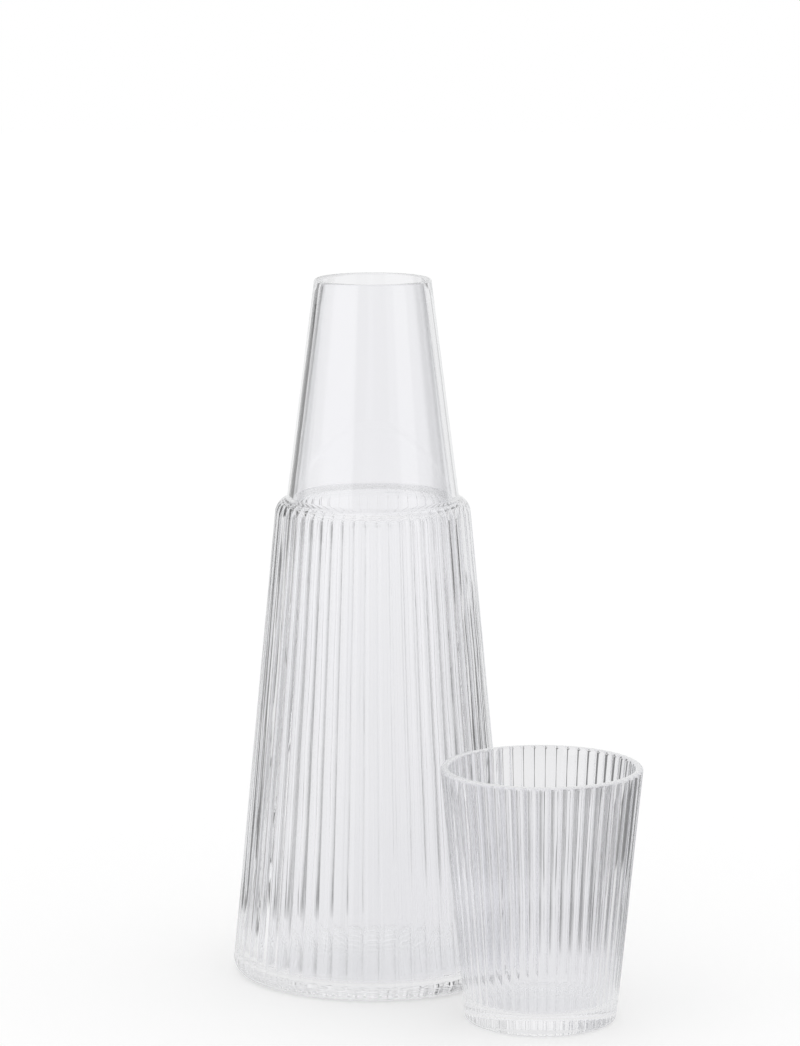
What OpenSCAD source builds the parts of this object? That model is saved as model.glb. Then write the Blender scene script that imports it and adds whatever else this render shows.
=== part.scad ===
// Bedside carafe with a tumbler, both of clear glass with upright reeds.
// The origin is the middle of the carafe's foot, on the surface that both pieces stand on, with +Z up.
// The tumbler stands beside the carafe. Turned over, it drops over the plain neck and rests on
// the shoulder, so its mouth and its depth follow the neck.

/* [Carafe] */
// Height of the carafe, from its foot to its rim
carafe_h = 260; // [235:1:300]
// Height of the shoulder, where the reeded body ends and the plain neck starts
shoulder_h = 179; // [150:1:195]
// Width of the body at the foot, over the reeds, before the edge is rounded
body_foot_d = 105.6; // [92:0.2:130]
// Width of the body at the shoulder, over the reeds, before the edge is rounded
body_top_d = 71.4; // [66:0.2:86]
// Thickness of the body's wall, from the top of a reed to the bore
body_wall = 3; // [2.4:0.1:4]
// Thickness of the floor, above the surface that the carafe stands on
carafe_floor = 4; // [3:0.1:8]
// Radius of the rounded edge at the foot
carafe_foot_round = 4.5; // [3:0.1:7]
// Radius of the bore's corner at the floor
carafe_floor_round = 6; // [3:0.5:12]
// Step from the body in to the neck, across the shoulder
shoulder_ledge = 3.9; // [3.2:0.1:5]
// Radius of the shoulder's soft outer edge
shoulder_round = 6.5; // [5:0.1:9]
// Radius of the hollow where the neck rises out of the shoulder
neck_root_round = 1.6; // [1:0.1:3]
// Radius of the bore's corner under the shoulder
shoulder_bore_round = 3.5; // [2.5:0.1:5]
// Radius at which the bore turns up into the neck
throat_round = 4; // [2:0.1:6]
// Width of the mouth, over the glass
mouth_d = 43; // [36:0.5:52]
// Thickness of the plain neck's wall
neck_wall = 2.4; // [1.8:0.1:3.2]
// Width of the ring that the carafe stands on
carafe_foot_ring = 5; // [3:0.5:9]
// Rise of the hollow under the foot
carafe_punt = 1.2; // [0.5:0.1:2]

/* [Tumbler] */
// Width of the tumbler at its foot, over the reeds, before the edge is rounded
tumbler_foot_d = 54.5; // [52:0.5:60]
// Thickness of the tumbler's wall, from the top of a reed to the bore
tumbler_wall = 3; // [2.4:0.1:3.6]
// Thickness of the tumbler's heavy floor
tumbler_floor = 7; // [4:0.5:10]
// Radius of the rounded edge at the tumbler's foot
tumbler_foot_round = 1.8; // [1.2:0.1:3]
// Radius of the bore's corner at the tumbler's floor
tumbler_floor_round = 3; // [1.5:0.5:6]
// Width of the ring that the tumbler stands on
tumbler_foot_ring = 4; // [2:0.5:7]
// Rise of the hollow under the tumbler's foot
tumbler_punt = 0.8; // [0.4:0.1:1.6]

/* [Tumbler over the neck] */
// Gap between the neck's root and the mouth of a tumbler turned over on it
cap_clearance = 1.6; // [1.2:0.1:3]
// Room over the carafe's rim for a turned over tumbler, when its mouth is level with the neck's root
cap_headroom = 4.7; // [3:0.1:12]

/* [Tumbler standing by] */
// Gap between the two feet
stand_gap = 12.5; // [8:0.5:60]
// Bearing of the tumbler from the carafe, turned from +X towards -Y
stand_bearing = 49; // [0:1:359]

/* [Reeds] */
// Number of reeds round the carafe
carafe_reeds = 54; // [36:2:60]
// Number of reeds round the tumbler
tumbler_reeds = 54; // [36:2:60]
// Depth of a reed, as a share of its width
reed_depth_share = 0.13; // [0.06:0.01:0.16]

/* [Hidden] */
glass_color = [0.86, 0.9, 0.9];
$fn = 144;
// Faces across one reed, and steps in a rounded edge
reed_faces = 4;
edge_steps = 5;
// How late the reeds die away as they turn under a foot, or over the shoulder or the tumbler's rim
reed_fade_power = 4;
// Flat ring left round the neck's root, so that neck and shoulder meet cleanly
root_seat = 0.05;
// Part of a wall that rounds the rim on each side, and that a cut overruns by
lip_share = 0.42;
overrun_share = 0.5;

body_foot_r = body_foot_d / 2;
body_top_r = body_top_d / 2;
neck_root_r = body_top_r - shoulder_ledge;
mouth_r = mouth_d / 2;
neck_h = carafe_h - shoulder_h;
body_lean = atan((body_foot_r - body_top_r) / shoulder_h);
neck_lean = atan((neck_root_r - mouth_r) / neck_h);
ceiling_h = shoulder_h - body_wall;
neck_lip = neck_wall * lip_share;
carafe_overrun = carafe_floor * overrun_share;

tumbler_h = neck_h + cap_headroom + tumbler_floor;
tumbler_foot_r = tumbler_foot_d / 2;
tumbler_rim_r = neck_root_r + cap_clearance + tumbler_wall;
tumbler_lean = atan((tumbler_foot_r - tumbler_rim_r) / tumbler_h);
tumbler_lip = tumbler_wall * lip_share;
tumbler_overrun = tumbler_wall * overrun_share;
stand_distance = body_foot_r + stand_gap + tumbler_foot_r;

// Radius at height z of a straight wall that runs from r_low at nought to r_high at height h
function wall_r(r_low, r_high, h, z) = r_low + (r_high - r_low) * z / h;
function body_r(z) = wall_r(body_foot_r, body_top_r, shoulder_h, z);
function neck_r(z) = wall_r(neck_root_r, mouth_r, neck_h, z - shoulder_h);
function tumbler_r(z) = wall_r(tumbler_foot_r, tumbler_rim_r, tumbler_h, z);

// Radius of the bore inside a wall of a given thickness and lean
function bore_r(outer_r, wall, lean) = outer_r - wall / cos(lean);
function body_bore_r(z) = bore_r(body_r(z), body_wall, body_lean);
function neck_bore_r(z) = bore_r(neck_r(z), neck_wall, neck_lean);
function tumbler_bore_r(z) = bore_r(tumbler_r(z), tumbler_wall, tumbler_lean);

// Points of a rounded edge about a centre, from one angle to another
function round_points(centre_r, centre_z, radius, from, to) =
    [for (i = [0 : edge_steps])
        let (turn = from + (to - from) * i / edge_steps)
        [centre_r + radius * cos(turn), centre_z + radius * sin(turn)]];

// Where two leaning walls meet in a soft step: an edge that bulges out of the lower wall and a hollow that
// turns up into the higher one. The walls' lines would meet a flat step at radius step_r and height step_z.
// The result is [edge's radius and height of centre, the same for the hollow, angle where they touch].
function step_turn(step, edge, low_lean) = low_lean + acos(1 - step * cos(low_lean) / edge);
function touch_turn(turn, edge, hollow, high_lean) =
    high_lean + acos((hollow + edge * cos(turn - high_lean)) / (edge + hollow));
function soft_step(step_r, step_z, step, edge, hollow, low_lean, high_lean) =
    let (
        turn = step_turn(step, edge, low_lean),
        touch = touch_turn(turn, edge, hollow, high_lean),
        edge_r = step_r - edge * cos(turn),
        edge_z = step_z - edge * sin(turn)
    )
    [edge_r, edge_z, edge_r + (edge + hollow) * cos(touch), edge_z + (edge + hollow) * sin(touch), touch];

shoulder = soft_step(
    neck_root_r, shoulder_h, shoulder_ledge, shoulder_round, neck_root_round, body_lean, neck_lean
);
throat = soft_step(
    neck_bore_r(ceiling_h), ceiling_h, body_bore_r(ceiling_h) - neck_bore_r(ceiling_h),
    shoulder_bore_round, throat_round, body_lean, neck_lean
);

// A ring of a reeded wall is [radius, height, direction that the surface faces, share of the reeds' depth].
// The reeds die away at the angle named last.
function edge_rings(centre_r, centre_z, radius, from, to, bare) =
    [for (i = [0 : edge_steps])
        let (turn = from + (to - from) * i / edge_steps)
        [centre_r + radius * cos(turn), centre_z + radius * sin(turn), turn,
            1 - pow(abs(turn / bare), reed_fade_power)]];

// Crown of a reed across its width: nought in the groove and one along the top
function reed_crown(across) = 1 - pow(2 * across - 1, 2);

// Points of one ring, set back from the tops of the reeds along the direction that the surface faces
function ring_points(ring, reeds) =
    let (
        columns = reeds * reed_faces,
        depth = ring[3] * reed_depth_share * 2 * PI * ring[0] / reeds
    )
    [for (c = [0 : columns - 1])
        let (
            set_back = depth * (1 - reed_crown((c % reed_faces) / reed_faces)),
            radius = ring[0] - set_back * cos(ring[2]),
            around = 360 * c / columns
        )
        [radius * cos(around), radius * sin(around), ring[1] - set_back * sin(ring[2])]];

// Reeded solid lofted through its rings, with a flat bottom and a flat top
module reeded_loft(rings, reeds) {
    columns = reeds * reed_faces;
    last = len(rings) - 1;
    points = [for (ring = rings) each ring_points(ring, reeds)];
    sides = [for (level = [0 : last - 1], c = [0 : columns - 1])
        let (
            low = level * columns,
            high = low + columns,
            next = (c + 1) % columns
        )
        each [[low + c, high + c, high + next], [low + c, high + next, low + next]]];
    bottom = [for (c = [0 : columns - 1]) c];
    top = [for (c = [columns - 1 : -1 : 0]) last * columns + c];
    polyhedron(points = points, faces = concat([bottom, top], sides));
}

// Shallow hollow under a foot, with its rim on the surface that the piece stands on
module punt(radius, rise, overrun) {
    dome_r = (radius * radius + rise * rise) / (2 * rise);
    half_angle = asin(radius / dome_r);
    rotate_extrude()
        polygon(concat(
            [[0, -overrun], [radius, -overrun]],
            round_points(0, rise - dome_r, dome_r, 90 - half_angle, 90)
        ));
}

// Outside of the carafe's body, from the ring that it stands on to the neck's root
module carafe_body() {
    foot_z = carafe_foot_round;
    reeded_loft(concat(
        edge_rings(
            bore_r(body_r(foot_z), carafe_foot_round, body_lean), foot_z,
            carafe_foot_round, -90, body_lean, -90
        ),
        edge_rings(
            shoulder[0], shoulder[1],
            shoulder_round, body_lean, shoulder[4], shoulder[4]
        )
    ), carafe_reeds);
}

// Plain neck, sunk into the shoulder, with a hollow round its root and its rim rounded outside
module carafe_neck() {
    lip_z = carafe_h - neck_lip;
    lip_r = bore_r(neck_r(lip_z), neck_lip, neck_lean);
    seat_r = shoulder[0] + shoulder_round * cos(shoulder[4]) - root_seat;
    rotate_extrude()
        polygon(concat(
            [[0, ceiling_h], [seat_r, ceiling_h]],
            round_points(
                shoulder[2] - root_seat, shoulder[3],
                neck_root_round, 180 + shoulder[4], 180 + neck_lean
            ),
            round_points(lip_r, lip_z, neck_lip, neck_lean, 90),
            [[0, carafe_h]]
        ));
}

// Everything inside the carafe: the body's bore, its soft step in to the throat and the neck's bore
module carafe_bore() {
    floor_z = carafe_floor + carafe_floor_round;
    lip_z = carafe_h - neck_lip;
    lip_r = neck_bore_r(lip_z) + neck_lip / cos(neck_lean);
    rotate_extrude()
        polygon(concat(
            [[0, carafe_floor]],
            round_points(
                bore_r(body_bore_r(floor_z), carafe_floor_round, body_lean), floor_z,
                carafe_floor_round, -90, body_lean
            ),
            round_points(throat[0], throat[1], shoulder_bore_round, body_lean, throat[4]),
            round_points(throat[2], throat[3], throat_round, 180 + throat[4], 180 + neck_lean),
            round_points(lip_r, lip_z, neck_lip, 180 + neck_lean, 90),
            [[lip_r, carafe_h + carafe_overrun], [0, carafe_h + carafe_overrun]]
        ));
}

// Carafe: one piece of glass, with a reeded body, a soft shoulder and a plain neck
module carafe() {
    stand_r = bore_r(body_r(carafe_foot_round), carafe_foot_round, body_lean);
    color(glass_color)
        difference() {
            union() {
                carafe_body();
                carafe_neck();
            }
            carafe_bore();
            punt(stand_r - carafe_foot_ring, carafe_punt, carafe_overrun);
        }
}

// Outside of the tumbler: reeds from under the foot up to the rim, where they die away over its edge
module tumbler_body() {
    foot_z = tumbler_foot_round;
    lip_z = tumbler_h - tumbler_lip;
    reeded_loft(concat(
        edge_rings(
            bore_r(tumbler_r(foot_z), tumbler_foot_round, tumbler_lean), foot_z,
            tumbler_foot_round, -90, tumbler_lean, -90
        ),
        edge_rings(
            bore_r(tumbler_r(lip_z), tumbler_lip, tumbler_lean), lip_z,
            tumbler_lip, tumbler_lean, 90, 90
        )
    ), tumbler_reeds);
}

// Inside of the tumbler, with the rim's inner edge
module tumbler_bore() {
    floor_z = tumbler_floor + tumbler_floor_round;
    lip_z = tumbler_h - tumbler_lip;
    lip_r = tumbler_bore_r(lip_z) + tumbler_lip / cos(tumbler_lean);
    rotate_extrude()
        polygon(concat(
            [[0, tumbler_floor]],
            round_points(
                bore_r(tumbler_bore_r(floor_z), tumbler_floor_round, tumbler_lean), floor_z,
                tumbler_floor_round, -90, tumbler_lean
            ),
            round_points(lip_r, lip_z, tumbler_lip, 180 + tumbler_lean, 90),
            [[lip_r, tumbler_h + tumbler_overrun], [0, tumbler_h + tumbler_overrun]]
        ));
}

// Tumbler: one heavy-footed piece of glass, standing beside the carafe
module tumbler() {
    stand_r = bore_r(tumbler_r(tumbler_foot_round), tumbler_foot_round, tumbler_lean);
    color(glass_color)
        translate([stand_distance * cos(stand_bearing), -stand_distance * sin(stand_bearing), 0])
            difference() {
                tumbler_body();
                tumbler_bore();
                punt(stand_r - tumbler_foot_ring, tumbler_punt, tumbler_overrun);
            }
}

carafe();
tumbler();
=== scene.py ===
"""Bedside carafe and tumbler of clear reeded glass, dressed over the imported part.

Every length is in metres, in the part's own frame. Each vessel is one closed skin of glass, swept
by Geometry Nodes from a profile of straight walls and rounded edges.
"""

import math

import bmesh
import bpy
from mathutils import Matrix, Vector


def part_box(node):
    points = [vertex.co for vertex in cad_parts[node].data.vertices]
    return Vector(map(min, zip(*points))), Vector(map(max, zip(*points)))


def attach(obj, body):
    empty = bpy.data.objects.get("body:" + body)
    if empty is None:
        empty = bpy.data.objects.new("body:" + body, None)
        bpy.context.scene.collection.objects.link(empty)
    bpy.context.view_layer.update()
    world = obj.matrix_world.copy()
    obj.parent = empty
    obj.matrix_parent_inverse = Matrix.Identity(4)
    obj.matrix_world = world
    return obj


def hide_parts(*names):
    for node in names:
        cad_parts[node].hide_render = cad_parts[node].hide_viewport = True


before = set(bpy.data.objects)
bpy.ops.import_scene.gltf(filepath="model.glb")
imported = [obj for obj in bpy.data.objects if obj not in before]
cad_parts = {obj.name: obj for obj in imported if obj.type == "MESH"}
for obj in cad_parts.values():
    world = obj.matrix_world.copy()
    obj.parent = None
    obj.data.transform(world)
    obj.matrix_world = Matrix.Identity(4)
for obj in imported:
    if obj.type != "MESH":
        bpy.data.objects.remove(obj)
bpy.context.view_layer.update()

MM = 0.001
WHITE = (1, 1, 1, 1)


def mm(length):
    """A length in millimetres, as metres."""
    return length * MM


# Sizes of the carafe, as in the part

_, carafe_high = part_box("carafe")
CARAFE_H = carafe_high.z
SHOULDER_H = mm(179)
BODY_FOOT_R = mm(52.8)
BODY_TOP_R = mm(35.7)
BODY_WALL = mm(3)
CARAFE_FLOOR = mm(4)
CARAFE_FOOT_ROUND = mm(4.5)
CARAFE_FLOOR_ROUND = mm(6)
SHOULDER_LEDGE = mm(3.9)
SHOULDER_ROUND = mm(6.5)
NECK_ROOT_ROUND = mm(1.6)
SHOULDER_BORE_ROUND = mm(3.5)
THROAT_ROUND = mm(4)
NECK_ROOT_R = BODY_TOP_R - SHOULDER_LEDGE
MOUTH_R = mm(21.5)
NECK_WALL = mm(2.4)
CARAFE_FOOT_RING = mm(5)
CARAFE_PUNT = mm(1.2)

# Sizes of the tumbler, as in the part

tumbler_low, tumbler_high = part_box("tumbler")
TUMBLER_X = (tumbler_low.x + tumbler_high.x) / 2
TUMBLER_Y = (tumbler_low.y + tumbler_high.y) / 2
TUMBLER_H = tumbler_high.z
TUMBLER_FOOT_R = mm(27.25)
TUMBLER_RIM_R = mm(36.4)
TUMBLER_WALL = mm(3)
TUMBLER_FLOOR = mm(7)
TUMBLER_FOOT_ROUND = mm(1.8)
TUMBLER_FLOOR_ROUND = mm(3)
TUMBLER_FOOT_RING = mm(4)
TUMBLER_PUNT = mm(0.8)

# The reeds: how many, how deep for their width, and how full their crowns are

REEDS = 54
REED_DEPTH_SHARE = 0.13
CROWN_POWER = 3.3

# How late the reeds die away over a foot or a rim, and over the shoulder

REED_FADE_POWER = 4
SHOULDER_FADE_POWER = 1.2

# The unevenness that hot glass keeps: reeds that stray by a share of their width, and slow ripples,
# which are weaker on the neck

REED_WANDER = 0.05
WANDER_OFFSET = 3.7
RIPPLE_DEPTH = mm(0.1)
RIPPLE_LENGTH = mm(17)
NECK_RIPPLE = 0.3

# The rounding of a lip as a share of its wall, and how finely the skin is divided

LIP_SHARE = 0.42
FACES_PER_REED = 12
WALL_STEP = mm(8)
EDGE_STEPS = 7
WELD = mm(0.002)

# The photograph's camera: where it stands, how far it looks down and its lens

PHOTO_H = 1046
FOCAL_PIXELS = 4478
SENSOR = 36
CAMERA_X = mm(10)
CAMERA_Y = mm(-1634.7)
CAMERA_Z = mm(442.1)
CAMERA_DIP = 0.1655


def linear(hex_colour):
    """An sRGB hex colour as linear red, green, blue and alpha."""
    channels = [int(hex_colour[i : i + 2], 16) / 255 for i in (1, 3, 5)]
    bent = [c / 12.92 if c <= 0.04045 else ((c + 0.055) / 1.055) ** 2.4 for c in channels]
    return (*bent, 1.0)


def add(tree, kind, links=None, **settings):
    """Adds one node. settings are its properties; links fills its inputs with values, sockets or
    the first outputs of nodes."""
    node = tree.nodes.new(kind)
    for name, value in settings.items():
        setattr(node, name, value)
    for key, value in (links or {}).items():
        if isinstance(value, bpy.types.Node):
            value = value.outputs[0]
        if isinstance(value, bpy.types.NodeSocket):
            tree.links.new(value, node.inputs[key])
        else:
            node.inputs[key].default_value = value
    return node


# Profiles: each point is (radius, height, direction it faces in degrees, reed share, ripple share)


def wall_r(low_r, high_r, height, z):
    """Radius at height z of a straight wall between two radii."""
    return low_r + (high_r - low_r) * z / height


def lean_of(low_r, high_r, height):
    """How far a wall's face tips up from level, in degrees."""
    return math.degrees(math.atan2(low_r - high_r, height))


def inset(radius, wall, lean):
    """Radius of a line that runs a wall's thickness inside another."""
    return radius - wall / math.cos(math.radians(lean))


def soft_step(step_r, step_z, step, edge_round, hollow_round, low_lean, high_lean):
    """Where an edge that leaves the lower wall meets a hollow that turns up into the higher one.

    The result is the edge's centre, the hollow's centre and the angle at which the two touch.
    """
    low, high = math.radians(low_lean), math.radians(high_lean)
    turn = low + math.acos(1 - step * math.cos(low) / edge_round)
    reach = edge_round + hollow_round
    touch = high + math.acos((hollow_round + edge_round * math.cos(turn - high)) / reach)
    edge_at = (step_r - edge_round * math.cos(turn), step_z - edge_round * math.sin(turn))
    hollow_at = (edge_at[0] + reach * math.cos(touch), edge_at[1] + reach * math.sin(touch))
    return edge_at, hollow_at, math.degrees(touch)


def edge(
    centre, radius, start, end, hollow=False, reed=0.0, ripple=0.0, bare=None, power=REED_FADE_POWER
):
    """Points of a rounded edge. A hollow one faces its own centre, and reeds die away at bare, the
    sooner the lower the power."""
    points = []
    for step in range(EDGE_STEPS + 1):
        turn = start + (end - start) * step / EDGE_STEPS
        bend = math.radians(turn)
        fade = 1 - abs(turn / bare) ** power if bare else 1.0
        points.append(
            (
                centre[0] + radius * math.cos(bend),
                centre[1] + radius * math.sin(bend),
                turn + 180 if hollow else turn,
                reed * fade,
                ripple * fade,
            )
        )
    return points


def straight(start, end, facing, reed=0.0, ripple=0.0):
    """Points of a straight wall between two (radius, height) ends, without the ends."""
    steps = max(2, round(math.dist(start[:2], end[:2]) / WALL_STEP))
    return [
        (
            start[0] + (end[0] - start[0]) * i / steps,
            start[1] + (end[1] - start[1]) * i / steps,
            facing,
            reed,
            ripple,
        )
        for i in range(1, steps)
    ]


def punt(radius, rise):
    """Points of the shallow hollow under a foot, from the axis out to the ring it stands on."""
    dome_r = (radius**2 + rise**2) / (2 * rise)
    half = math.degrees(math.asin(radius / dome_r))
    return edge((0, rise - dome_r), dome_r, 90, 90 - half, hollow=True)


def carafe_profile():
    """Half section of the carafe, from the axis under its foot, up outside, and down the bore."""
    neck_h = CARAFE_H - SHOULDER_H
    body_lean = lean_of(BODY_FOOT_R, BODY_TOP_R, SHOULDER_H)
    neck_lean = lean_of(NECK_ROOT_R, MOUTH_R, neck_h)
    lip = NECK_WALL * LIP_SHARE

    def body(z):
        return wall_r(BODY_FOOT_R, BODY_TOP_R, SHOULDER_H, z)

    def neck(z):
        return wall_r(NECK_ROOT_R, MOUTH_R, neck_h, z - SHOULDER_H)

    def bore(z):
        return inset(body(z), BODY_WALL, body_lean)

    def neck_bore(z):
        return inset(neck(z), NECK_WALL, neck_lean)

    foot_z = CARAFE_FOOT_ROUND
    foot_r = inset(body(foot_z), foot_z, body_lean)
    lip_z = CARAFE_H - lip
    lip_r = inset(neck(lip_z), lip, neck_lean)
    lip_bore_r = neck_bore(lip_z) + lip / math.cos(math.radians(neck_lean))
    ceiling_z = SHOULDER_H - BODY_WALL
    floor_z = CARAFE_FLOOR + CARAFE_FLOOR_ROUND
    floor_r = inset(bore(floor_z), CARAFE_FLOOR_ROUND, body_lean)

    edge_at, root_at, touch = soft_step(
        NECK_ROOT_R,
        SHOULDER_H,
        SHOULDER_LEDGE,
        SHOULDER_ROUND,
        NECK_ROOT_ROUND,
        body_lean,
        neck_lean,
    )
    corner_at, throat_at, throat_touch = soft_step(
        neck_bore(ceiling_z),
        ceiling_z,
        bore(ceiling_z) - neck_bore(ceiling_z),
        SHOULDER_BORE_ROUND,
        THROAT_ROUND,
        body_lean,
        neck_lean,
    )

    foot = edge(
        (foot_r, foot_z), CARAFE_FOOT_ROUND, -90, body_lean, reed=1, ripple=1, bare=-90
    )
    shoulder = edge(
        edge_at,
        SHOULDER_ROUND,
        body_lean,
        touch,
        reed=1,
        ripple=1,
        bare=touch,
        power=SHOULDER_FADE_POWER,
    )
    root = edge(root_at, NECK_ROOT_ROUND, 180 + touch, 180 + neck_lean, hollow=True)
    lip_out = edge((lip_r, lip_z), lip, neck_lean, 90)
    lip_in = edge((lip_bore_r, lip_z), lip, 90, 180 + neck_lean)
    throat = edge(throat_at, THROAT_ROUND, 180 + neck_lean, 180 + throat_touch, ripple=NECK_RIPPLE)
    corner = edge(
        corner_at, SHOULDER_BORE_ROUND, throat_touch, body_lean, hollow=True, ripple=1
    )
    floor = edge(
        (floor_r, floor_z), CARAFE_FLOOR_ROUND, body_lean, -90, hollow=True, ripple=1
    )

    points = punt(foot_r - CARAFE_FOOT_RING, CARAFE_PUNT)
    points += foot
    points += straight(foot[-1], shoulder[0], body_lean, reed=1, ripple=1)
    points += shoulder
    points += root
    points += straight(root[-1], lip_out[0], neck_lean, ripple=NECK_RIPPLE)
    points += lip_out
    points += lip_in
    points += straight(lip_in[-1], throat[0], 180 + neck_lean, ripple=NECK_RIPPLE)
    points += throat
    points += corner
    points += straight(corner[-1], floor[0], 180 + body_lean, ripple=1)
    points += floor
    points += straight(floor[-1], (0, CARAFE_FLOOR), 90, ripple=1)
    points += [(0, CARAFE_FLOOR, 90, 0.0, 1.0)]
    return points


def tumbler_profile():
    """Half section of the tumbler, from the axis under its foot, up outside, and down the bore."""
    lean = lean_of(TUMBLER_FOOT_R, TUMBLER_RIM_R, TUMBLER_H)
    lip = TUMBLER_WALL * LIP_SHARE

    def wall(z):
        return wall_r(TUMBLER_FOOT_R, TUMBLER_RIM_R, TUMBLER_H, z)

    def bore(z):
        return inset(wall(z), TUMBLER_WALL, lean)

    foot_z = TUMBLER_FOOT_ROUND
    foot_r = inset(wall(foot_z), foot_z, lean)
    lip_z = TUMBLER_H - lip
    lip_r = inset(wall(lip_z), lip, lean)
    lip_bore_r = bore(lip_z) + lip / math.cos(math.radians(lean))
    floor_z = TUMBLER_FLOOR + TUMBLER_FLOOR_ROUND
    floor_r = inset(bore(floor_z), TUMBLER_FLOOR_ROUND, lean)

    foot = edge((foot_r, foot_z), TUMBLER_FOOT_ROUND, -90, lean, reed=1, ripple=1, bare=-90)
    lip_out = edge((lip_r, lip_z), lip, lean, 90, reed=1, ripple=1, bare=90)
    lip_in = edge((lip_bore_r, lip_z), lip, 90, 180 + lean)
    floor = edge((floor_r, floor_z), TUMBLER_FLOOR_ROUND, lean, -90, hollow=True, ripple=1)

    points = punt(foot_r - TUMBLER_FOOT_RING, TUMBLER_PUNT)
    points += foot
    points += straight(foot[-1], lip_out[0], lean, reed=1, ripple=1)
    points += lip_out
    points += lip_in
    points += straight(lip_in[-1], floor[0], 180 + lean, ripple=1)
    points += floor
    points += straight(floor[-1], (0, TUMBLER_FLOOR), 90, ripple=1)
    points += [(0, TUMBLER_FLOOR, 90, 0.0, 1.0)]
    return points


def profile_mesh(name, points):
    """The profile as a mesh of loose points that carry which way they face and their shares."""
    mesh = bpy.data.meshes.new(name)
    mesh.from_pydata([(p[0], 0, p[1]) for p in points], [], [])
    for column, label in ((2, "facing"), (3, "reed_share"), (4, "ripple_share")):
        values = [math.radians(p[2]) if column == 2 else p[column] for p in points]
        mesh.attributes.new(label, "FLOAT", "POINT").data.foreach_set("value", values)
    return mesh


# Glass: its two tints, its grey at a slant (partly the longer way through the wall, partly painted
# shade), and how late it turns to that

GLASS_TINT = "#fefeff"
GLASS_DRIFT = "#fbfbfd"
GLASS_SLANT_SHADE = "#d9dcde"
SLANT_SHADE_POWER = 3.0
GLASS_IOR = 1.52

# Its swells, its orange peel and the drift of its tint: how far across, and how strong

SWELL_ACROSS = mm(14)
SWELL_DEPTH = mm(0.4)
SWELL_STRENGTH = 0.06
PEEL_ACROSS = mm(1.2)
PEEL_DEPTH = mm(0.03)
PEEL_STRENGTH = 0.03
DRIFT_ACROSS = mm(60)


def clear_glass(name):
    """Clear soda-lime glass, blown or pressed in a mould and fire-polished.

    The eye sees a colourless, glossy skin. Where it is seen at a slant it is painted a cool grey:
    partly for the longer way through the wall, partly as painted shade that darkens its edges and
    the flanks of its reeds. The surface is not optically flat: it has slow swells from the hot
    glass and a fine orange peel.
    """
    material = bpy.data.materials.new(name)
    material.use_nodes = True
    tree = material.node_tree
    tree.nodes.clear()
    place = add(tree, "ShaderNodeTexCoord").outputs["Object"]

    swell = add(
        tree, "ShaderNodeTexNoise", {"Vector": place, "Scale": 1 / SWELL_ACROSS, "Detail": 1.0}
    )
    peel = add(
        tree, "ShaderNodeTexNoise", {"Vector": place, "Scale": 1 / PEEL_ACROSS, "Detail": 2.0}
    )
    soft = add(
        tree,
        "ShaderNodeBump",
        {"Height": swell, "Strength": SWELL_STRENGTH, "Distance": SWELL_DEPTH},
    )
    skin = add(
        tree,
        "ShaderNodeBump",
        {"Height": peel, "Normal": soft, "Strength": PEEL_STRENGTH, "Distance": PEEL_DEPTH},
    )

    # Melts are never quite even, so the tint drifts a little
    drift = add(
        tree, "ShaderNodeTexNoise", {"Vector": place, "Scale": 1 / DRIFT_ACROSS, "Detail": 1.0}
    )
    body = add(
        tree,
        "ShaderNodeMix",
        {0: drift, 6: linear(GLASS_TINT), 7: linear(GLASS_DRIFT)},
        data_type="RGBA",
    ).outputs[2]
    # Painted shade: the skin is mixed towards a grey where it is seen at a slant, which darkens its
    # edges and the flanks of its reeds
    slant = add(tree, "ShaderNodeLayerWeight", {"Blend": 0.5, "Normal": skin}).outputs["Facing"]
    steep = add(tree, "ShaderNodeMath", {0: slant, 1: SLANT_SHADE_POWER}, operation="POWER")
    colour = add(
        tree, "ShaderNodeMix", {0: steep, 6: body, 7: linear(GLASS_SLANT_SHADE)}, data_type="RGBA"
    ).outputs[2]

    glass = add(
        tree,
        "ShaderNodeBsdfPrincipled",
        {
            "Base Color": colour,
            "Normal": skin,
            "Metallic": 0.0,
            "Roughness": 0.0,
            "IOR": GLASS_IOR,
            "Transmission Weight": 1.0,
        },
    )
    add(tree, "ShaderNodeOutputMaterial", {"Surface": glass})
    return material


# The reeded skin, swept by Geometry Nodes


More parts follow.
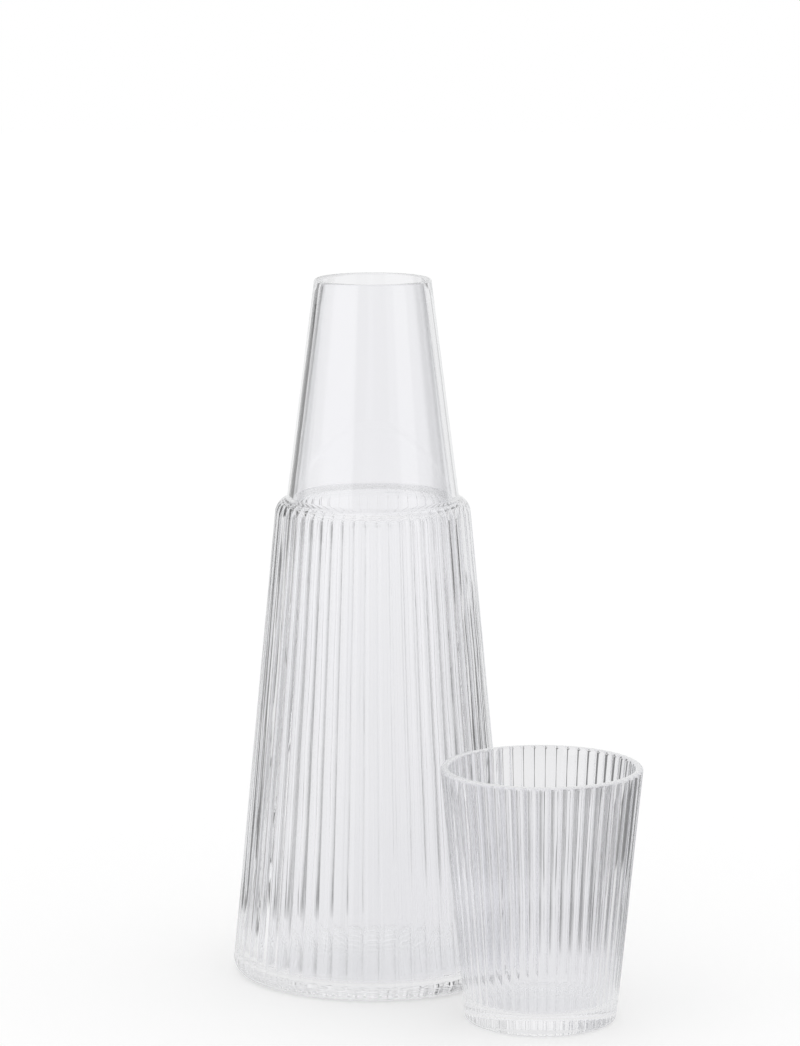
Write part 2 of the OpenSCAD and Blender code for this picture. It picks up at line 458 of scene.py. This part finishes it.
def reeded_skin_tree(name):
    """Geometry Nodes that sweep a profile round the axis and raise the reeds on it.

    Row by row, the grid's points take the place of the profile's points, turned round the axis.
    Each is then set back from the tops of the reeds along the way its surface faces, by a crown
    across the reed, and moved by a slow ripple that hot glass keeps.
    """
    tree = bpy.data.node_groups.new(name, "GeometryNodeTree")
    face = tree.interface
    face.new_socket("Geometry", in_out="INPUT", socket_type="NodeSocketGeometry")
    for label, kind, value in (
        ("Reeds", "NodeSocketInt", REEDS),
        ("Faces per reed", "NodeSocketInt", FACES_PER_REED),
        ("Reed depth share", "NodeSocketFloat", REED_DEPTH_SHARE),
        ("Crown power", "NodeSocketFloat", CROWN_POWER),
        ("Reed wander", "NodeSocketFloat", REED_WANDER),
        ("Ripple depth", "NodeSocketFloat", RIPPLE_DEPTH),
        ("Ripple length", "NodeSocketFloat", RIPPLE_LENGTH),
        ("Weld distance", "NodeSocketFloat", WELD),
        ("Seed", "NodeSocketFloat", 0.0),
    ):
        socket = face.new_socket(label, in_out="INPUT", socket_type=kind)
        socket.default_value = value
    face.new_socket("Glass", in_out="INPUT", socket_type="NodeSocketMaterial")
    face.new_socket("Geometry", in_out="OUTPUT", socket_type="NodeSocketGeometry")

    given = add(tree, "NodeGroupInput").outputs
    profile = given["Geometry"]
    rows = add(tree, "GeometryNodeAttributeDomainSize", {0: profile}, component="MESH")
    columns = add(
        tree,
        "ShaderNodeMath",
        {0: given["Reeds"], 1: given["Faces per reed"]},
        operation="MULTIPLY",
    )
    grid = add(
        tree,
        "GeometryNodeMeshGrid",
        {
            "Size X": 1.0,
            "Size Y": 1.0,
            "Vertices X": add(tree, "ShaderNodeMath", {0: columns, 1: 1.0}, operation="ADD"),
            "Vertices Y": rows,
        },
    )

    # Where a point of the grid lies: a share of the way round, and a row of the profile
    flat = add(tree, "ShaderNodeSeparateXYZ", {0: add(tree, "GeometryNodeInputPosition")}).outputs
    around = add(tree, "ShaderNodeMath", {0: flat["X"], 1: 0.5}, operation="ADD")
    up = add(tree, "ShaderNodeMath", {0: flat["Y"], 1: 0.5}, operation="ADD")
    last = add(tree, "ShaderNodeMath", {0: rows, 1: 1.0}, operation="SUBTRACT")
    level = add(tree, "ShaderNodeMath", {0: up, 1: last}, operation="MULTIPLY")
    row = add(tree, "ShaderNodeMath", {0: level}, operation="ROUND")

    def at_row(value, data_type):
        """A value of the profile's point in this row."""
        return add(
            tree,
            "GeometryNodeSampleIndex",
            {"Geometry": profile, "Value": value, "Index": row},
            data_type=data_type,
            domain="POINT",
        )

    def named(label):
        """A named share of the profile's point in this row."""
        value = add(tree, "GeometryNodeInputNamedAttribute", {"Name": label}, data_type="FLOAT")
        return at_row(value, "FLOAT")

    place = at_row(add(tree, "GeometryNodeInputPosition"), "FLOAT_VECTOR")
    section = add(tree, "ShaderNodeSeparateXYZ", {0: place}).outputs
    radius, height = section["X"], section["Z"]
    facing = named("facing")
    turn = add(tree, "ShaderNodeMath", {0: around, 1: math.tau}, operation="MULTIPLY")
    east = add(tree, "ShaderNodeMath", {0: turn}, operation="COSINE")
    north = add(tree, "ShaderNodeMath", {0: turn}, operation="SINE")
    outward_way = add(tree, "ShaderNodeCombineXYZ", {0: east, 1: north, 2: 0.0})

    # Slow noise from -1 to 1 that closes on itself round the piece
    spot_flat = add(
        tree, "ShaderNodeVectorMath", {0: outward_way, "Scale": radius}, operation="SCALE"
    )
    lift = add(tree, "ShaderNodeCombineXYZ", {0: 0.0, 1: 0.0, 2: height})
    spot = add(tree, "ShaderNodeVectorMath", {0: spot_flat, 1: lift}, operation="ADD")
    scale = add(tree, "ShaderNodeMath", {0: 1.0, 1: given["Ripple length"]}, operation="DIVIDE")

    def slow_noise(offset):
        """Noise from -1 to 1 that differs with the offset."""
        seed = add(tree, "ShaderNodeMath", {0: given["Seed"], 1: offset}, operation="ADD")
        noise = add(
            tree,
            "ShaderNodeTexNoise",
            {"Vector": spot, "W": seed, "Scale": scale, "Detail": 1.0},
            noise_dimensions="4D",
        )
        return add(tree, "ShaderNodeMath", {0: noise, 1: 2.0, 2: -1.0}, operation="MULTIPLY_ADD")

    # How deep the skin lies under the tops of the reeds
    wander = add(
        tree,
        "ShaderNodeMath",
        {0: slow_noise(WANDER_OFFSET), 1: given["Reed wander"]},
        operation="MULTIPLY",
    )
    reed = add(
        tree, "ShaderNodeMath", {0: around, 1: given["Reeds"], 2: wander}, operation="MULTIPLY_ADD"
    )
    across = add(tree, "ShaderNodeMath", {0: reed}, operation="FRACT")
    middle = add(
        tree, "ShaderNodeMath", {0: across, 1: 2.0, 2: -1.0}, operation="MULTIPLY_ADD"
    )
    off_crown = add(tree, "ShaderNodeMath", {0: middle}, operation="ABSOLUTE")
    groove = add(
        tree, "ShaderNodeMath", {0: off_crown, 1: given["Crown power"]}, operation="POWER"
    )
    round_way = add(tree, "ShaderNodeMath", {0: radius, 1: math.tau}, operation="MULTIPLY")
    width = add(tree, "ShaderNodeMath", {0: round_way, 1: given["Reeds"]}, operation="DIVIDE")
    depth = add(
        tree, "ShaderNodeMath", {0: width, 1: given["Reed depth share"]}, operation="MULTIPLY"
    )
    kept = add(tree, "ShaderNodeMath", {0: depth, 1: named("reed_share")}, operation="MULTIPLY")
    set_back = add(tree, "ShaderNodeMath", {0: kept, 1: groove}, operation="MULTIPLY")
    swing = add(
        tree, "ShaderNodeMath", {0: slow_noise(0.0), 1: given["Ripple depth"]}, operation="MULTIPLY"
    )
    ripple = add(
        tree, "ShaderNodeMath", {0: swing, 1: named("ripple_share")}, operation="MULTIPLY"
    )
    shift = add(tree, "ShaderNodeMath", {0: ripple, 1: set_back}, operation="SUBTRACT")

    # The point's new radius and height, shifted along the way that it faces
    level_part = add(tree, "ShaderNodeMath", {0: facing}, operation="COSINE")
    upright_part = add(tree, "ShaderNodeMath", {0: facing}, operation="SINE")
    new_r = add(
        tree, "ShaderNodeMath", {0: shift, 1: level_part, 2: radius}, operation="MULTIPLY_ADD"
    )
    new_z = add(
        tree, "ShaderNodeMath", {0: shift, 1: upright_part, 2: height}, operation="MULTIPLY_ADD"
    )
    swept_flat = add(
        tree, "ShaderNodeVectorMath", {0: outward_way, "Scale": new_r}, operation="SCALE"
    )
    raised = add(tree, "ShaderNodeCombineXYZ", {0: 0.0, 1: 0.0, 2: new_z})
    swept = add(tree, "ShaderNodeVectorMath", {0: swept_flat, 1: raised}, operation="ADD")

    skin = add(tree, "GeometryNodeSetPosition", {"Geometry": grid, "Position": swept})
    welded = add(
        tree,
        "GeometryNodeMergeByDistance",
        {"Geometry": skin, "Distance": given["Weld distance"]},
    )
    smooth = add(tree, "GeometryNodeSetShadeSmooth", {"Geometry": welded})
    real = add(tree, "GeometryNodeRealizeInstances", {"Geometry": smooth})
    glazed = add(
        tree, "GeometryNodeSetMaterial", {"Geometry": real, "Material": given["Glass"]}
    )
    add(tree, "NodeGroupOutput", {"Geometry": glazed})
    return tree


def blow(name, points, tree, glass, place=(0, 0), **sizes):
    """One vessel: the swept skin of a profile as a plain mesh, in its place and facing outwards."""
    seed = bpy.data.objects.new(name + "_profile", profile_mesh(name + "_profile", points))
    bpy.context.scene.collection.objects.link(seed)
    sweep = seed.modifiers.new("sweep", "NODES")
    sweep.node_group = tree
    sockets = {
        item.name: item.identifier
        for item in tree.interface.items_tree
        if item.item_type == "SOCKET" and item.in_out == "INPUT"
    }
    for label, value in sizes.items():
        sweep[sockets[label.replace("_", " ")]] = value
    sweep[sockets["Glass"]] = glass
    seed.update_tag()
    depsgraph = bpy.context.evaluated_depsgraph_get()
    mesh = bpy.data.meshes.new_from_object(seed.evaluated_get(depsgraph))
    mesh.name = name
    seed.modifiers.remove(sweep)
    bpy.data.objects.remove(seed)

    skin = bmesh.new()
    skin.from_mesh(mesh)
    if skin.calc_volume(signed=True) < 0:
        bmesh.ops.reverse_faces(skin, faces=skin.faces)
    bmesh.ops.translate(skin, verts=skin.verts, vec=(*place, 0))
    skin.to_mesh(mesh)
    skin.free()

    vessel = bpy.data.objects.new(name, mesh)
    bpy.context.scene.collection.objects.link(vessel)
    return vessel


carafe_glass = clear_glass("blown_soda_lime_glass")
tumbler_glass = clear_glass("pressed_soda_lime_glass")
skin_tree = reeded_skin_tree("reeded_skin")

carafe = blow("carafe_glass", carafe_profile(), skin_tree, carafe_glass, Seed=1.0)
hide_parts("carafe")
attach(carafe, "carafe")

tumbler = blow(
    "tumbler_glass", tumbler_profile(), skin_tree, tumbler_glass, (TUMBLER_X, TUMBLER_Y), Seed=5.0
)
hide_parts("tumbler")
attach(tumbler, "tumbler")

# The set: a pale floor, and how much of the studio's light the glass sees on it

FLOOR_HALF = mm(4000)
FLOOR_ALBEDO = 0.55
FLOOR_GLOW = 0.51
FLOOR_IN_GLASS = 0.85

# How bright the studio looks through the glass, as stops of a bearing from straight behind it, in
# degrees, and a brightness. Dark cards stand on its left and right: these are the ones beyond the
# table

STUDIO_LEFT = (
    (0, 1.0),
    (17, 1.0),
    (19, 0.02),
    (38, 0.02),
    (41, 0.9),
    (50, 0.9),
    (54, 0.3),
    (70, 0.3),
    (76, 1.1),
    (150, 1.1),
    (153, 0.7),
)
STUDIO_RIGHT = (
    (0, 1.0),
    (19, 1.0),
    (21, 0.45),
    (25, 0.45),
    (27, 1.0),
    (50, 0.9),
    (53, 0.05),
    (80, 0.05),
    (84, 0.9),
    (138, 0.9),
    (141, 0.7),
)

# And these are the ones on the table

TABLE_LEFT = (
    (0, 1.0),
    (24, 1.0),
    (27, 0.04),
    (40, 0.04),
    (42, 0.9),
    (49, 0.9),
    (52, 0.1),
    (73, 0.1),
    (76, 1.1),
    (150, 1.1),
    (153, 0.7),
)
TABLE_RIGHT = (
    (0, 1.0),
    (27, 1.0),
    (30, 0.04),
    (40, 0.04),
    (42, 0.9),
    (48, 0.9),
    (50, 0.1),
    (82, 0.1),
    (85, 0.9),
    (138, 0.9),
    (141, 0.7),
)

# How bright it looks in a reflection: a large soft box on its left, and a dark card and a small
# soft box on its right

MIRRORED_LEFT = (
    (0, 1.1),
    (60, 1.1),
    (72, 0.6),
    (75, 1.5),
    (150, 1.5),
    (153, 0.5),
)
MIRRORED_RIGHT = (
    (0, 1.0),
    (60, 1.0),
    (66, 0.1),
    (112, 0.1),
    (115, 1.1),
    (138, 1.1),
    (141, 0.5),
)

# The cards end here, as the sine of how steeply one looks up at them

CARD_TOP = 0.45
CARD_TOP_FADE = 0.15

# White paper hides them: a strip under the tumbler and behind it, and a disc under the carafe

STRIP_X = TUMBLER_X - mm(12)
STRIP_HALF = mm(38)
STRIP_END = mm(240)
STRIP_FADE = mm(25)
DISC_R = mm(75)
DISC_FADE = mm(45)

# The table ends here, measured from the carafe

TABLE_EDGE = mm(1050)
TABLE_FADE = mm(150)

# How bright white is in the glass where the floor is near, and from how far it is at its full

NEAR_LIGHT = 0.8
FULL_LIGHT = 0.91
FAR = mm(900)

# The studio's light on the floor itself, before that

SOFT_LIGHT = 1.0

# Light runs down inside a wall as in a pipe, so it takes many turns to get out

BOUNCES = 96


def shade_ramp(ramp, stops):
    """Sets a ramp's greys from (place, level) stops."""
    ramp.elements[0].position = stops[0][0]
    ramp.elements[1].position = stops[-1][0]
    for spot, _ in stops[1:-1]:
        ramp.elements.new(spot)
    for element, (_, level) in zip(ramp.elements, stops):
        element.color = (level, level, level, 1)


def round_the_studio(left, right):
    """Stops of a ramp that runs from in front of the glass by its left, round behind it to its
    right and back to its front."""
    return [(0.5 - off / 360, level) for off, level in left[:0:-1]] + [
        (0.5 + off / 360, level) for off, level in right
    ]


def studio_light(tree, way, apart, on_paper):
    """How bright the studio is that way, that far from the carafe and on or off the white paper.

    Light that comes through the glass, that is mirrored in it and that falls on the floor each has
    its own.
    """
    path = add(tree, "ShaderNodeLightPath").outputs
    parts = add(tree, "ShaderNodeSeparateXYZ", {0: way}).outputs
    bearing = add(tree, "ShaderNodeMath", {0: parts["X"], 1: parts["Y"]}, operation="ARCTAN2")
    turn = add(tree, "ShaderNodeMath", {0: bearing, 1: math.tau}, operation="DIVIDE")
    share = add(tree, "ShaderNodeMath", {0: turn, 1: 0.5}, operation="ADD")
    far = add(tree, "ShaderNodeValToRGB", {0: share})
    shade_ramp(far.color_ramp, round_the_studio(STUDIO_LEFT, STUDIO_RIGHT))
    near = add(tree, "ShaderNodeValToRGB", {0: share})
    shade_ramp(near.color_ramp, round_the_studio(TABLE_LEFT, TABLE_RIGHT))
    off_table = add(
        tree,
        "ShaderNodeMapRange",
        {"Value": apart, "From Min": TABLE_EDGE, "From Max": TABLE_EDGE + TABLE_FADE},
    )
    through = add(
        tree, "ShaderNodeMix", {0: off_table, 6: near, 7: far}, data_type="RGBA"
    ).outputs[2]
    mirrored = add(tree, "ShaderNodeValToRGB", {0: share})
    shade_ramp(mirrored.color_ramp, round_the_studio(MIRRORED_LEFT, MIRRORED_RIGHT))
    steep = add(tree, "ShaderNodeMath", {0: parts["Z"]}, operation="ABSOLUTE")
    above = add(
        tree,
        "ShaderNodeMapRange",
        {"Value": steep, "From Min": CARD_TOP, "From Max": CARD_TOP + CARD_TOP_FADE},
    )
    open_sky = add(
        tree, "ShaderNodeMix", {0: above, 6: through, 7: WHITE}, data_type="RGBA"
    ).outputs[2]
    plain = (SOFT_LIGHT, SOFT_LIGHT, SOFT_LIGHT, 1)
    reflected = add(
        tree, "ShaderNodeMix", {0: path["Is Glossy Ray"], 6: plain, 7: mirrored}, data_type="RGBA"
    ).outputs[2]
    light = add(
        tree,
        "ShaderNodeMix",
        {0: path["Is Transmission Ray"], 6: reflected, 7: open_sky},
        data_type="RGBA",
    ).outputs[2]
    papered = add(
        tree, "ShaderNodeMix", {0: on_paper, 6: light, 7: WHITE}, data_type="RGBA"
    ).outputs[2]
    distance = add(
        tree,
        "ShaderNodeMapRange",
        {"Value": apart, "From Max": FAR, "To Min": NEAR_LIGHT, "To Max": FULL_LIGHT},
    )
    return add(tree, "ShaderNodeVectorMath", {0: papered, "Scale": distance}, operation="SCALE")


def white_paper(tree, spot, apart):
    """How much of the white paper lies at a spot on the floor, that far from the carafe."""
    parts = add(tree, "ShaderNodeSeparateXYZ", {0: spot}).outputs
    aside = add(tree, "ShaderNodeMath", {0: parts["X"], 1: STRIP_X}, operation="SUBTRACT")
    off = add(tree, "ShaderNodeMath", {0: aside}, operation="ABSOLUTE")
    across = add(
        tree,
        "ShaderNodeMapRange",
        {"Value": off, "From Min": STRIP_HALF + STRIP_FADE, "From Max": STRIP_HALF},
    )
    along = add(
        tree,
        "ShaderNodeMapRange",
        {"Value": parts["Y"], "From Min": STRIP_END + STRIP_FADE, "From Max": STRIP_END},
    )
    strip = add(tree, "ShaderNodeMath", {0: across, 1: along}, operation="MULTIPLY")
    disc = add(
        tree,
        "ShaderNodeMapRange",
        {"Value": apart, "From Min": DISC_R + DISC_FADE, "From Max": DISC_R},
    )
    return add(tree, "ShaderNodeMath", {0: strip, 1: disc}, operation="MAXIMUM")


def stage_floor():
    """A plain pale floor that the camera sees as white, with the soft shadow kept. The glass sees
    the studio's light on it."""
    mesh = bpy.data.meshes.new("floor")
    half = FLOOR_HALF
    mesh.from_pydata(
        [(-half, -half, 0), (half, -half, 0), (half, half, 0), (-half, half, 0)], [], [(0, 1, 2, 3)]
    )
    floor = bpy.data.objects.new("floor", mesh)
    bpy.context.scene.collection.objects.link(floor)
    material = bpy.data.materials.new("pale_card")
    material.use_nodes = True
    tree = material.node_tree
    tree.nodes.clear()
    grey = (FLOOR_ALBEDO, FLOOR_ALBEDO, FLOOR_ALBEDO, 1)
    card = add(tree, "ShaderNodeBsdfDiffuse", {"Color": grey})
    glow = add(tree, "ShaderNodeEmission", {"Color": WHITE, "Strength": FLOOR_GLOW})
    seen = add(tree, "ShaderNodeAddShader", {0: card, 1: glow})
    path = add(tree, "ShaderNodeLightPath").outputs
    in_glass = add(
        tree,
        "ShaderNodeMath",
        {0: path["Is Glossy Ray"], 1: path["Is Transmission Ray"]},
        operation="MAXIMUM",
    )
    share = add(tree, "ShaderNodeMath", {0: in_glass, 1: FLOOR_IN_GLASS}, operation="MULTIPLY")
    spot = add(tree, "ShaderNodeTexCoord").outputs["Object"]
    apart = add(tree, "ShaderNodeVectorMath", {0: spot}, operation="LENGTH").outputs["Value"]
    light = studio_light(tree, spot, apart, white_paper(tree, spot, apart))
    studio = add(tree, "ShaderNodeEmission", {"Color": light, "Strength": 1.0})
    both = add(tree, "ShaderNodeMixShader", {0: share, 1: seen, 2: studio})
    add(tree, "ShaderNodeOutputMaterial", {"Surface": both})
    mesh.materials.append(material)


def studio_world():
    """A white studio with dark cards that only the glass picks up."""
    world = bpy.data.worlds.new("studio")
    bpy.context.scene.world = world
    world.use_nodes = True
    tree = world.node_tree
    tree.nodes.clear()
    way = add(tree, "ShaderNodeTexCoord").outputs["Generated"]
    light = studio_light(tree, way, FLOOR_HALF, 0.0)
    lit = add(tree, "ShaderNodeBackground", {"Color": light, "Strength": 1.0})
    white = add(tree, "ShaderNodeBackground", {"Color": WHITE, "Strength": 1.0})
    seen = add(tree, "ShaderNodeLightPath").outputs["Is Camera Ray"]
    out = add(tree, "ShaderNodeMixShader", {0: seen, 1: lit, 2: white})
    add(tree, "ShaderNodeOutputWorld", {"Surface": out})


def photo_camera():
    """The photograph's camera."""
    data = bpy.data.cameras.new("camera")
    data.sensor_width = SENSOR
    data.lens = FOCAL_PIXELS / PHOTO_H * SENSOR
    camera = bpy.data.objects.new("camera", data)
    bpy.context.scene.collection.objects.link(camera)
    camera.location = (CAMERA_X, CAMERA_Y, CAMERA_Z)
    camera.rotation_euler = (math.pi / 2 - CAMERA_DIP, 0, 0)
    bpy.context.scene.camera = camera


stage_floor()
studio_world()
photo_camera()

scene = bpy.context.scene
scene.view_settings.view_transform = "Standard"
scene.cycles.max_bounces = BOUNCES
scene.cycles.transmission_bounces = BOUNCES
scene.cycles.glossy_bounces = BOUNCES
